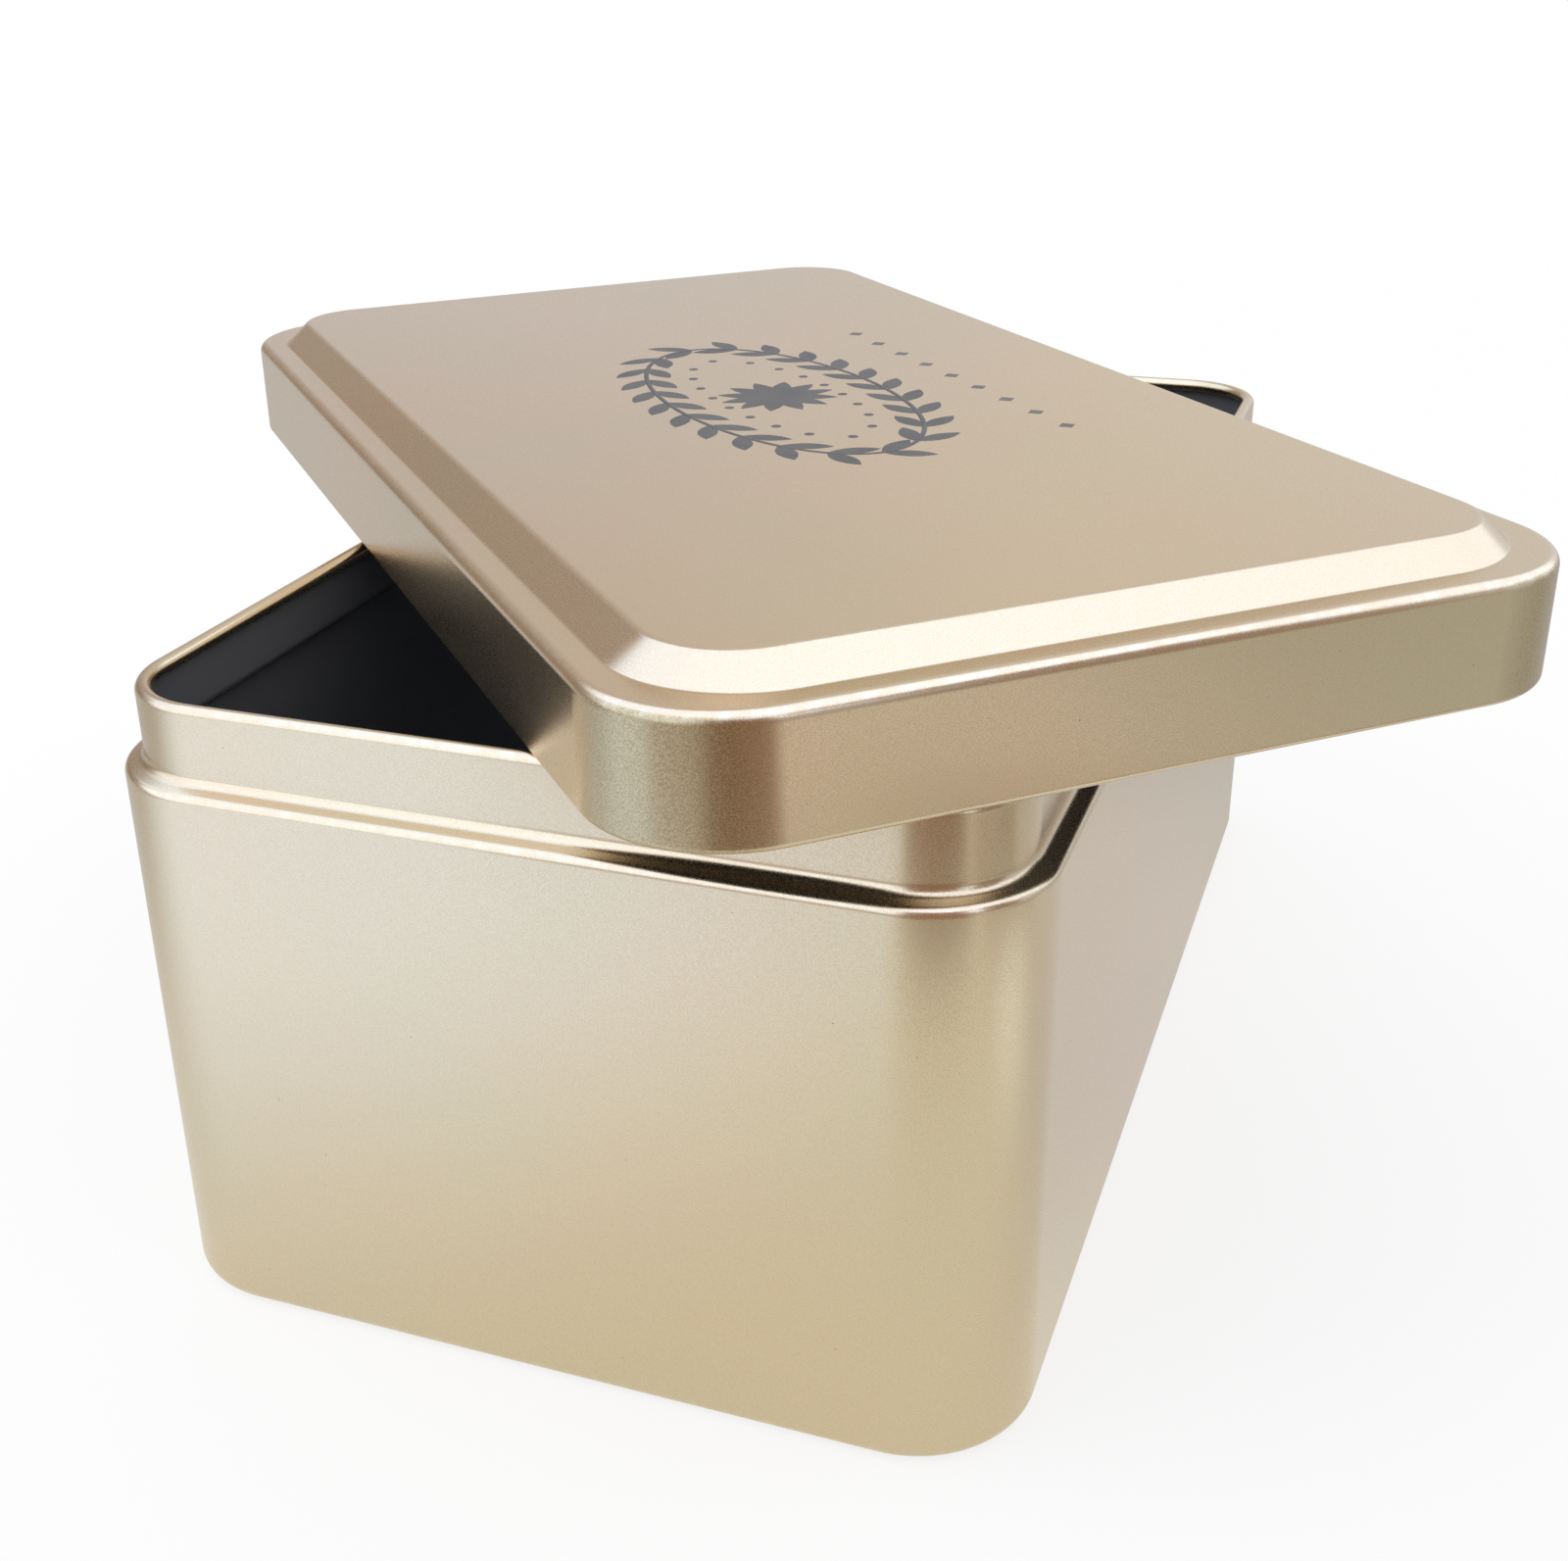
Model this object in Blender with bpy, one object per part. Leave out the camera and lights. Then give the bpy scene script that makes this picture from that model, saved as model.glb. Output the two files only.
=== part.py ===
# Rectangular gift tin of lacquered sheet metal, open, with its stepped lid lying askew on the rim.
# Lengths are in metres and angles in degrees. The tin stands on z = 0 with a short side facing -Y,
# and x = y = 0 is the middle of the ground that tin and lid cover together.

import math

import bmesh
import bpy
import numpy
from mathutils import Matrix, Vector

# Sheet metal, and the gap left between pieces that touch on a real tin
SHEET = 0.0003
SEAT_GAP = 0.0003

# Body
BODY_WIDTH = 0.100
BODY_LENGTH = 0.1714
CORNER_RADIUS = 0.0133
SHOULDER_HEIGHT = 0.0634
SHOULDER_RADIUS = 0.00095
SHOULDER_SLOPE = 20.0
NECK_HEIGHT = 0.0090
RIM_CURL = 0.0018
NECK_INSET = 0.0022
NECK_FOOT_RADIUS = 0.0013

# Foot, where the wall turns in under the base panel and up again as a hem
FOOT_RADIUS = 0.0018
FOOT_WIDTH = 0.0042
FOOT_HEM_HEIGHT = 0.0019
FOOT_HEM_RADIUS = 0.0006

# Lock seam that joins the ends of the wall's strip, on the inside of the back wall
SEAM_WIDTH = 0.005
SEAM_LAYERS = 0.0006
SEAM_MARGIN = 0.003

# Base panel
BASE_EDGE_HEIGHT = 0.005
BASE_CHANNEL_RADIUS = 0.0006
BASE_MARGIN = 0.0033
BASE_STEP_RUN = 0.0011
BASE_STEP_RISE = 0.0009
BASE_STEP_RADIUS = 0.0006

# Lid
LID_CLEARANCE = 0.00035
LID_HEM = 0.0023
LID_HEM_EDGE_RADIUS = 0.0005
LID_HEIGHT = 0.0155
LEDGE_EDGE_RADIUS = 0.0012
LEDGE_WIDTH = 0.00355
BEVEL_RUN = 0.00335
BEVEL_RISE = 0.0027
BEVEL_FOOT_RADIUS = 0.0006
BEVEL_TOP_RADIUS = 0.0009

# Plan corners of the lid's bevel at its foot and at its top
BEVEL_FOOT_CORNER = 0.0130
BEVEL_TOP_CORNER = 0.0085

# How the lid lies on the rim, measured from the middle of the body
LID_SHIFT_X = -0.0006
LID_SHIFT_Y = -0.0069
LID_TURN = 42.9

# Facets: steps in a quarter of a plan corner, and the usual step of a bend in the sheet. Points
# closer than the last share of the sheet's thickness are one point.
CORNER_STEPS = 8
BEND_STEP = 30.0
SMOOTH_ANGLE = 50.0
SAME_PLACE_SHARE = 0.01

# Finish: linear colour, roughness and metallic value
WALL_FINISH = ((0.610, 0.530, 0.370, 1.0), 0.32, 1.0)
LID_FINISH = ((0.560, 0.465, 0.305, 1.0), 0.36, 1.0)
BASE_FINISH = ((0.520, 0.440, 0.300, 1.0), 0.40, 1.0)

# Sizes that follow from those above
HALF_SHEET = SHEET / 2
NEXT_SHEET = SHEET + SEAT_GAP
RIM_HEIGHT = SHOULDER_HEIGHT + NECK_HEIGHT
NECK_MIDDLE = NECK_INSET + HALF_SHEET
LID_GROWTH = LID_CLEARANCE + LID_HEM - NECK_INSET
LID_WIDTH = BODY_WIDTH + LID_GROWTH * 2
LID_LENGTH = BODY_LENGTH + LID_GROWTH * 2
LID_CORNER_RADIUS = CORNER_RADIUS + LID_GROWTH


def clear_scene():
    for thing in list(bpy.data.objects):
        bpy.data.objects.remove(thing, do_unlink=True)


def finish_material(name, finish):
    colour, roughness, metallic = finish
    material = bpy.data.materials.new(name)
    material.use_nodes = True
    shader = material.node_tree.nodes["Principled BSDF"]
    shader.inputs["Base Color"].default_value = colour
    shader.inputs["Roughness"].default_value = roughness
    shader.inputs["Metallic"].default_value = metallic
    material.diffuse_color = colour
    return material


# A section is drawn along the middle of the sheet, as corners of (inset, height, bend radius).
# The inset is measured inwards from the outer face, level with the ground.

def bend_points(before, corner, after, radius):
    incoming = (corner - before).normalized()
    outgoing = (after - corner).normalized()
    turn = math.atan2(incoming.cross(outgoing), incoming.dot(outgoing))
    reach = radius * math.tan(abs(turn) / 2)
    left = Vector((-incoming.y, incoming.x))
    spoke = left * -math.copysign(radius, turn)
    centre = corner - incoming * reach - spoke
    steps = max(1, round(math.degrees(abs(turn)) / BEND_STEP))
    return [
        centre + Matrix.Rotation(turn * step / steps, 2) @ spoke
        for step in range(steps + 1)
    ]


def bent_path(corners):
    places = [Vector((inset, height)) for inset, height, radius in corners]
    radii = [radius for inset, height, radius in corners]
    points = [places[0]]
    for i in range(1, len(places) - 1):
        points += bend_points(places[i - 1], places[i], places[i + 1], radii[i])
    points.append(places[-1])
    path = [points[0]]
    for point in points[1:]:
        if (point - path[-1]).length > SHEET * SAME_PLACE_SHARE:
            path.append(point)
    return path


def sheet_sides(path):
    # The two faces of a sheet of even thickness whose middle follows the path
    ways = [(after - point).normalized() for point, after in zip(path, path[1:])]
    left = []
    right = []
    for point, incoming, outgoing in zip(path, ways[:1] + ways, ways + ways[-1:]):
        along = (incoming + outgoing).normalized()
        across = Vector((-along.y, along.x)) * (HALF_SHEET / along.dot(incoming))
        left.append(point + across)
        right.append(point - across)
    return left, right


def plan_ring(width, length, radius, inset, height):
    # A rectangle with round corners, the inset inside a width by length outline
    reach_x = width / 2 - inset - radius
    reach_y = length / 2 - inset - radius
    points = []
    for quarter, (side_x, side_y) in enumerate(((1, 1), (-1, 1), (-1, -1), (1, -1))):
        for step in range(CORNER_STEPS + 1):
            angle = math.radians(90) * (quarter + step / CORNER_STEPS)
            points.append(Vector((
                side_x * reach_x + radius * math.cos(angle),
                side_y * reach_y + radius * math.sin(angle),
                height,
            )))
    return points


def even_corner(outer_radius, point):
    # The corner radius at a point of the section, round the same centre at every inset
    return max(outer_radius - point.x, SHEET)


def lid_corner(outer_radius, point):
    # On the lid's top the radius leaves that rule between the outer edge and the bevel
    bevel_end = LEDGE_WIDTH + BEVEL_RUN
    if point.x < LEDGE_EDGE_RADIUS or point.y < LID_HEIGHT / 2:
        return even_corner(outer_radius, point)
    insets = (LEDGE_EDGE_RADIUS, LEDGE_WIDTH, bevel_end)
    radii = (outer_radius - LEDGE_EDGE_RADIUS, BEVEL_FOOT_CORNER, BEVEL_TOP_CORNER)
    return float(numpy.interp(point.x, insets, radii))


def sheet_mesh(name, corners, width, length, outer_radius, corner_at, panel):
    # The bent sheet swept round the plan. With a panel, its last edge is closed across the middle.
    left, right = sheet_sides(bent_path(corners))
    outline = right[::-1] + left
    shell = bmesh.new()
    rings = []
    for point in outline:
        places = plan_ring(width, length, corner_at(outer_radius, point), point.x, point.y)
        rings.append([shell.verts.new(place) for place in places])
    pairs = list(zip(rings, rings[1:]))
    if panel:
        shell.faces.new(rings[0])
        shell.faces.new(rings[-1])
    else:
        pairs.append((rings[-1], rings[0]))
    for one, other in pairs:
        for i in range(len(one)):
            j = (i + 1) % len(one)
            shell.faces.new((one[i], one[j], other[j], other[i]))
    bmesh.ops.recalc_face_normals(shell, faces=shell.faces[:])
    mesh = bpy.data.meshes.new(name)
    shell.to_mesh(mesh)
    shell.free()
    mesh.shade_smooth()
    mesh.set_sharp_from_angle(angle=math.radians(SMOOTH_ANGLE))
    return mesh


def add_object(name, mesh, frame, material=None):
    thing = bpy.data.objects.new(name, mesh)
    bpy.context.scene.collection.objects.link(thing)
    thing.parent = frame
    if material:
        mesh.materials.append(material)
    return thing


def curl_corners(inset, height, diameter, away, edge_radius):
    # Three quarters of a curl that ends in the sheet's edge. It starts level with its own far side,
    # away is 1 where the curl opens downwards and -1 where it opens upwards, and the edge radius is
    # that of the bend at its outer side.
    middle = diameter - SHEET
    radius = middle / 2
    return [
        (inset + radius, height - away * middle, 0),
        (inset + middle, height - away * middle, radius),
        (inset + middle, height, radius),
        (inset, height, edge_radius),
    ]


def shoulder_corners():
    # The neck's foot runs out in a hollow, and the sheet falls a little before it rolls over into
    # the wall. The shoulder's height is where its slope, drawn straight on, would meet the wall.
    slope = math.radians(SHOULDER_SLOPE)
    below = HALF_SHEET / math.cos(slope)
    return [
        (NECK_MIDDLE, SHOULDER_HEIGHT + NECK_MIDDLE * math.tan(slope) - below, NECK_FOOT_RADIUS),
        (HALF_SHEET, SHOULDER_HEIGHT + HALF_SHEET * math.tan(slope) - below, SHOULDER_RADIUS - HALF_SHEET),
    ]


def foot_corners():
    hem = FOOT_WIDTH - HALF_SHEET
    return [
        (HALF_SHEET, HALF_SHEET, FOOT_RADIUS - HALF_SHEET),
        (hem, HALF_SHEET, FOOT_HEM_RADIUS),
        (hem, FOOT_HEM_HEIGHT, 0),
    ]


def seam_strip(frame):
    # The folded layers of the lock seam, let into the back wall as far as the middle of its sheet
    low = BASE_EDGE_HEIGHT + SEAM_MARGIN
    high = SHOULDER_HEIGHT - SHOULDER_RADIUS - SEAM_MARGIN
    depth = HALF_SHEET + SEAM_LAYERS
    strip = bmesh.new()
    bmesh.ops.create_cube(strip, size=1)
    bmesh.ops.scale(strip, vec=Vector((SEAM_WIDTH, depth, high - low)), verts=strip.verts)
    middle = Vector((0, BODY_LENGTH / 2 - HALF_SHEET - depth / 2, (low + high) / 2))
    bmesh.ops.translate(strip, vec=middle, verts=strip.verts)
    mesh = bpy.data.meshes.new("seam_strip")
    strip.to_mesh(mesh)
    strip.free()
    guide = add_object("seam_strip", mesh, frame)
    guide.hide_render = True
    guide.display_type = "WIRE"
    return guide


def make_side_wall(frame):
    rim_radius = (RIM_CURL - SHEET) / 2
    corners = curl_corners(NECK_MIDDLE, RIM_HEIGHT - HALF_SHEET, RIM_CURL, 1, rim_radius)
    corners += shoulder_corners() + foot_corners()
    mesh = sheet_mesh("side_wall", corners, BODY_WIDTH, BODY_LENGTH, CORNER_RADIUS, even_corner, False)
    wall = add_object("side_wall", mesh, frame, finish_material("wall_lacquer", WALL_FINISH))
    union = wall.modifiers.new("lock_seam", "BOOLEAN")
    union.operation = "UNION"
    union.solver = "EXACT"
    union.object = seam_strip(frame)
    return wall


def make_base_panel(frame):
    # Its edge is folded down into the channel between the wall and the foot's hem
    beside = HALF_SHEET + NEXT_SHEET
    inner = FOOT_WIDTH - HALF_SHEET - NEXT_SHEET
    over = FOOT_HEM_HEIGHT + SEAT_GAP + HALF_SHEET
    step_foot = FOOT_WIDTH + BASE_MARGIN
    step_top = step_foot + BASE_STEP_RUN
    field = over + BASE_STEP_RISE
    corners = [
        (beside, BASE_EDGE_HEIGHT, 0),
        (beside, beside, FOOT_RADIUS - NEXT_SHEET - HALF_SHEET),
        (inner, beside, BASE_CHANNEL_RADIUS),
        (inner, over, HALF_SHEET + SEAT_GAP),
        (step_foot, over, BASE_STEP_RADIUS),
        (step_top, field, BASE_STEP_RADIUS),
        (step_top + BASE_STEP_RADIUS, field, 0),
    ]
    mesh = sheet_mesh("base_panel", corners, BODY_WIDTH, BODY_LENGTH, CORNER_RADIUS, even_corner, True)
    return add_object("base_panel", mesh, frame, finish_material("base_lacquer", BASE_FINISH))


def make_lid(frame):
    # Its heights count from the hem's lowest point, which lies just above the rim
    top = LID_HEIGHT - HALF_SHEET
    ledge = top - BEVEL_RISE
    bevel_end = LEDGE_WIDTH + BEVEL_RUN
    corners = curl_corners(HALF_SHEET, HALF_SHEET, LID_HEM, -1, LID_HEM_EDGE_RADIUS)
    corners += [
        (HALF_SHEET, ledge, LEDGE_EDGE_RADIUS - HALF_SHEET),
        (LEDGE_WIDTH, ledge, BEVEL_FOOT_RADIUS),
        (bevel_end, top, BEVEL_TOP_RADIUS),
        (bevel_end + BEVEL_TOP_RADIUS, top, 0),
    ]
    mesh = sheet_mesh("lid", corners, LID_WIDTH, LID_LENGTH, LID_CORNER_RADIUS, lid_corner, True)
    lid = add_object("lid", mesh, frame, finish_material("lid_lacquer", LID_FINISH))
    lid.location = (LID_SHIFT_X, LID_SHIFT_Y, RIM_HEIGHT + SEAT_GAP)
    lid.rotation_euler.z = math.radians(LID_TURN)
    return lid


def covered_ground():
    # The middle of the box that body and turned lid fill together, from the middle of the body
    turn = math.radians(LID_TURN)
    cosine = abs(math.cos(turn))
    sine = abs(math.sin(turn))
    reach_x = LID_WIDTH / 2 - LID_CORNER_RADIUS
    reach_y = LID_LENGTH / 2 - LID_CORNER_RADIUS
    lid_x = reach_x * cosine + reach_y * sine + LID_CORNER_RADIUS
    lid_y = reach_x * sine + reach_y * cosine + LID_CORNER_RADIUS
    high_x = max(BODY_WIDTH / 2, LID_SHIFT_X + lid_x)
    low_x = min(-BODY_WIDTH / 2, LID_SHIFT_X - lid_x)
    high_y = max(BODY_LENGTH / 2, LID_SHIFT_Y + lid_y)
    low_y = min(-BODY_LENGTH / 2, LID_SHIFT_Y - lid_y)
    return Vector(((high_x + low_x) / 2, (high_y + low_y) / 2, 0))


def main():
    clear_scene()
    frame = bpy.data.objects.new("tin_middle", None)
    bpy.context.scene.collection.objects.link(frame)
    frame.location = -covered_ground()
    make_side_wall(frame)
    make_base_panel(frame)
    make_lid(frame)
    print("middle of the body", [round(value, 5) for value in frame.location])


main()
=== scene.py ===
import math

import bmesh
import bpy
from mathutils import Matrix, Vector


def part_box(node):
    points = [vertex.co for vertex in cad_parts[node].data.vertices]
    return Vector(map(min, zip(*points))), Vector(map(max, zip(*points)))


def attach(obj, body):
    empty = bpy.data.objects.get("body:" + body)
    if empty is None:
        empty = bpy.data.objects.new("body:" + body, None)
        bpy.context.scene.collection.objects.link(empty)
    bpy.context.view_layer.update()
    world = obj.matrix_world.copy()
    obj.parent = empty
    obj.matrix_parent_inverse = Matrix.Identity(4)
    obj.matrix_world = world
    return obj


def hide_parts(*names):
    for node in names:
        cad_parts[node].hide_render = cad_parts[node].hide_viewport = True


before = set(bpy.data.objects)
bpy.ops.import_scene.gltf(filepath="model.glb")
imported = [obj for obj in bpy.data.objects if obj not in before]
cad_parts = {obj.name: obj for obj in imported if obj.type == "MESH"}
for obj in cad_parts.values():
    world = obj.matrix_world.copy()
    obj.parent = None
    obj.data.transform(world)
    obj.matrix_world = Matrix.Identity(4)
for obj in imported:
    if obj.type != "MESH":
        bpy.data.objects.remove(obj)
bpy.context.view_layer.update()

# Gift tin of lacquered sheet metal, open, with its stepped lid lying askew on the rim.
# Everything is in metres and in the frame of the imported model.

mm = 0.001
bpy.context.scene.view_settings.view_transform = "Standard"
wallLow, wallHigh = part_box("side_wall")
lidLow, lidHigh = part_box("lid")
bodyWidth = wallHigh.x - wallLow.x
bodyLength = wallHigh.y - wallLow.y
rimHeight = wallHigh.z
bodyMiddle = Vector(((wallLow.x + wallHigh.x) / 2, (wallLow.y + wallHigh.y) / 2, 0))
lidMiddle = Vector(((lidLow.x + lidHigh.x) / 2, (lidLow.y + lidHigh.y) / 2, lidLow.z))
lidTop = lidHigh.z

sheetMetal = {
    "thickness": 0.3 * mm,
    "seatGap": 0.3 * mm,
    "cornerSteps": 24,      # facets in a quarter turn seen from above
    "cornerRise": 6.0,      # how fast a corner's drawn skin and its painted shade set in beside the flats
    "bendStep": 9.0,        # degrees in a facet of a bend
    "holdWidth": 0.12 * mm, # narrow strip that keeps the flat beside a bend flat
    "sharpAngle": 50.0,
}
sheet = sheetMetal["thickness"]
half = sheet / 2


def linkObject(name, data):
    piece = bpy.data.objects.new(name, data)
    bpy.context.scene.collection.objects.link(piece)
    return piece


# Sections of bent sheet

def bendPoints(before, corner, after, radius, wear):
    incoming = (corner - before).normalized()
    outgoing = (after - corner).normalized()
    turn = math.atan2(incoming.cross(outgoing), incoming.dot(outgoing))
    reach = radius * math.tan(abs(turn) / 2)
    left = Vector((-incoming.y, incoming.x))
    spoke = left * -math.copysign(radius, turn)
    centre = corner - incoming * reach - spoke
    steps = max(2, round(math.degrees(abs(turn)) / sheetMetal["bendStep"]))
    points = []
    for step in range(steps + 1):
        share = step / steps
        place = centre + Matrix.Rotation(turn * share, 2) @ spoke
        points.append((place, wear * math.sin(math.pi * share)))
    return points


def bentPath(corners):
    # Corners are (inset, height, bend radius, wear). Each straight gets a holding point at both ends,
    # and points closer than a hundredth of the sheet's half thickness are left out.
    places = [Vector(corner[:2]) for corner in corners]
    points = [(places[0], corners[0][3])]
    for i in range(1, len(places) - 1):
        points += bendPoints(places[i - 1], places[i], places[i + 1], corners[i][2], corners[i][3])
    points.append((places[-1], corners[-1][3]))
    path = [points[0]]
    hold = sheetMetal["holdWidth"]
    for place, wear in points[1:]:
        last = path[-1][0]
        gap = (place - last).length
        if gap < half / 100:
            continue
        if gap > hold * 4:
            way = (place - last).normalized()
            path.append((last + way * hold, 0.0))
            path.append((place - way * hold, 0.0))
        path.append((place, wear))
    return path


def sheetSides(path):
    # The two faces of the sheet, left and right of its middle line
    places = [place for place, wear in path]
    ways = [(after - place).normalized() for place, after in zip(places, places[1:])]
    left = []
    right = []
    for place, incoming, outgoing in zip(places, ways[:1] + ways, ways + ways[-1:]):
        along = (incoming + outgoing).normalized()
        across = Vector((-along.y, along.x)) * (half / along.dot(incoming))
        left.append(place + across)
        right.append(place - across)
    return left, right


def planRing(width, length, radius, point):
    reachX = width / 2 - point.x - radius
    reachY = length / 2 - point.x - radius
    hold = sheetMetal["holdWidth"] * 3
    steps = sheetMetal["cornerSteps"]
    ring = []
    for quarter, (sideX, sideY) in enumerate(((1, 1), (-1, 1), (-1, -1), (1, -1))):
        centre = Vector((sideX * reachX, sideY * reachY, point.y))
        spokes = []
        for step in range(steps + 1):
            angle = math.radians(90) * (quarter + step / steps)
            spokes.append(Vector((math.cos(angle), math.sin(angle), 0)))
        before = Vector((spokes[0].y, -spokes[0].x, 0)) * hold
        after = Vector((-spokes[-1].y, spokes[-1].x, 0)) * hold
        ring.append(centre + spokes[0] * radius + before)
        ring += [centre + spoke * radius for spoke in spokes]
        ring.append(centre + spokes[-1] * radius + after)
    return ring


def cornerShares():
    # How much of the corner each point of a plan ring has: 0 at the flats, 1 from a fifth of the turn on
    steps = sheetMetal["cornerSteps"]
    shares = [min(1.0, sheetMetal["cornerRise"] * k / steps * (1 - k / steps)) for k in range(steps + 1)]
    return ([0.0] + shares + [0.0]) * 4


def sweepSheet(name, corners, width, length, radiusAt, drawnShadeAt, materials, panel):
    # Sweeps the section round the plan. Slot 0 is the left face, 1 the right face, 2 the cut edge.
    # The wear attribute marks the bends, and drawn the corners where the press stretched the sheet, which the
    # gold lacquer also darkens as painted shade.
    path = bentPath(corners)
    left, right = sheetSides(path)
    wear = [amount for place, amount in path]
    outline = right[::-1] + left
    wears = wear[::-1] + wear
    halfWay = len(right)
    shell = bmesh.new()
    wearLayer = shell.verts.layers.float.new("wear")
    drawnShadeLayer = shell.verts.layers.float.new("drawn")
    shares = cornerShares()
    rings = []
    for point, amount in zip(outline, wears):
        ring = [shell.verts.new(place) for place in planRing(width, length, radiusAt(point), point)]
        for vert, share in zip(ring, shares):
            vert[wearLayer] = amount
            vert[drawnShadeLayer] = share * drawnShadeAt(point)
        rings.append(ring)
    spans = [(k, k + 1) for k in range(len(rings) - 1)]
    if panel:
        shell.faces.new(rings[0]).material_index = 1
        shell.faces.new(rings[-1]).material_index = 0
    else:
        spans.append((len(rings) - 1, 0))
    for k, m in spans:
        side = 1 if k < halfWay - 1 else 0
        if k == halfWay - 1 or m == 0:
            side = 2
        for i in range(len(rings[k])):
            j = (i + 1) % len(rings[k])
            face = shell.faces.new((rings[k][i], rings[k][j], rings[m][j], rings[m][i]))
            face.material_index = side
    bmesh.ops.recalc_face_normals(shell, faces=shell.faces[:])
    mesh = bpy.data.meshes.new(name)
    shell.to_mesh(mesh)
    shell.free()
    mesh.shade_smooth()
    mesh.set_sharp_from_angle(angle=math.radians(sheetMetal["sharpAngle"]))
    for material in materials:
        mesh.materials.append(material)
    return linkObject(name, mesh)


def curlCorners(inset, height, diameter, away, edgeRadius, wear):
    # Three quarters of a curl that ends in the sheet's cut edge
    middle = diameter - sheet
    radius = middle / 2
    return [
        (inset + radius, height - away * middle, 0, 0),
        (inset + middle, height - away * middle, radius, 0),
        (inset + middle, height, radius, wear * 0.5),
        (inset, height, edgeRadius, wear),
    ]


# Shader helpers

def addNode(tree, kind, x, y, **settings):
    node = tree.nodes.new(kind)
    node.location = (x, y)
    for key, value in settings.items():
        setattr(node, key, value)
    return node


def feed(socket, value):
    # The value is another node's output or a constant
    if isinstance(value, bpy.types.NodeSocket):
        socket.id_data.links.new(value, socket)
    else:
        socket.default_value = value


def setInputs(node, **values):
    for key, value in values.items():
        feed(node.inputs[key.replace("_", " ")], value)
    return node


def mathNode(tree, operation, x, y, first, second=None, clamp=False):
    node = addNode(tree, "ShaderNodeMath", x, y, operation=operation, use_clamp=clamp)
    feed(node.inputs[0], first)
    if second is not None:
        feed(node.inputs[1], second)
    return node.outputs[0]


def smoothStep(tree, value, low, high, x, y, outLow=0.0, outHigh=1.0):
    node = addNode(tree, "ShaderNodeMapRange", x, y, interpolation_type="SMOOTHSTEP")
    setInputs(node, Value=value, From_Min=low, From_Max=high, To_Min=outLow, To_Max=outHigh)
    return node.outputs["Result"]


def mixColour(tree, factor, first, second, x, y):
    node = addNode(tree, "ShaderNodeMix", x, y, data_type="RGBA")
    for index, value in ((0, factor), (6, first), (7, second)):
        feed(node.inputs[index], value)
    return node.outputs[2]


def objectPlace(tree):
    return addNode(tree, "ShaderNodeTexCoord", -1200, 300).outputs["Object"]


def noise(tree, place, size, y, **settings):
    # Noise whose features are about as large as the size
    node = addNode(tree, "ShaderNodeTexNoise", -750, y)
    scale = mathNode(tree, "DIVIDE", -1000, y, 1.0, size)
    setInputs(node, Vector=place, Scale=scale, **settings)
    return node.outputs[0]


def newGroup(name, inputs, outputs):
    # A group whose inputs and outputs are all plain numbers
    group = bpy.data.node_groups.new(name, "ShaderNodeTree")
    for label, value in inputs.items():
        socket = group.interface.new_socket(label, in_out="INPUT", socket_type="NodeSocketFloat")
        socket.default_value = value
    for label in outputs:
        group.interface.new_socket(label, in_out="OUTPUT", socket_type="NodeSocketFloat")
    given = addNode(group, "NodeGroupInput", -1200, 0).outputs
    wanted = addNode(group, "NodeGroupOutput", 900, 0).inputs
    return group, given, wanted


def useGroup(tree, group, x, y, values):
    node = addNode(tree, "ShaderNodeGroup", x, y, node_tree=group)
    for key, value in values.items():
        feed(node.inputs[key], value)
    return node.outputs


def newMaterial(name):
    material = bpy.data.materials.new(name)
    material.use_nodes = True
    tree = material.node_tree
    shader = tree.nodes["Principled BSDF"]
    shader.location = (700, 0)
    return material, tree, shader


def finishSurface(tree, shader, colour, height, rough, metal):
    bump = addNode(tree, "ShaderNodeBump", 400, -300)
    setInputs(bump, Strength=1.0, Distance=1.0, Height=height)
    setInputs(shader, Base_Color=colour, Roughness=rough, Metallic=metal, Normal=bump.outputs[0])


# Shared effects

effectLook = {
    "fleckFineness": 1.7,           # how much finer the flecks are than the grain
    "fleckRange": (0.38, 0.62),     # noise values between which a mask goes from 0 to 1
    "cloudRange": (0.30, 0.70),
    "patchRange": (0.42, 0.68),
    "sandRange": (0.36, 0.64),
    "bareCells": 0.55,              # share of the cells that hold no speck
}


def makeGrainGroup():
    # The sandy grain of satin lacquer, metal flecks, and broad waves in the sheet
    look = effectLook
    group, given, wanted = newGroup(
        "satinGrain",
        {"Grain Size": 0.16 * mm, "Grain Height": 0.002 * mm, "Wave Size": 30 * mm, "Wave Height": 0.02 * mm},
        ("Height", "Fleck", "Cloud"),
    )
    place = objectPlace(group)
    finer = addNode(group, "ShaderNodeVectorMath", -1000, 450, operation="SCALE")
    feed(finer.inputs[0], place)
    setInputs(finer, Scale=look["fleckFineness"])
    size = given["Grain Size"]
    grain = noise(group, place, size, 250, Detail=2.0, Roughness=0.6)
    fleck = noise(group, finer.outputs[0], size, 0, Detail=1.0, Roughness=0.5, Distortion=0.4)
    wave = noise(group, place, given["Wave Size"], -250, Detail=1.0, Roughness=0.4)
    grainPart = mathNode(group, "MULTIPLY", -450, 250, grain, given["Grain Height"])
    wavePart = mathNode(group, "MULTIPLY", -450, -250, wave, given["Wave Height"])
    feed(wanted["Height"], mathNode(group, "ADD", -200, 0, grainPart, wavePart))
    feed(wanted["Fleck"], smoothStep(group, fleck, *look["fleckRange"], -450, 0))
    feed(wanted["Cloud"], smoothStep(group, wave, *look["cloudRange"], -450, -450))
    return group


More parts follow.
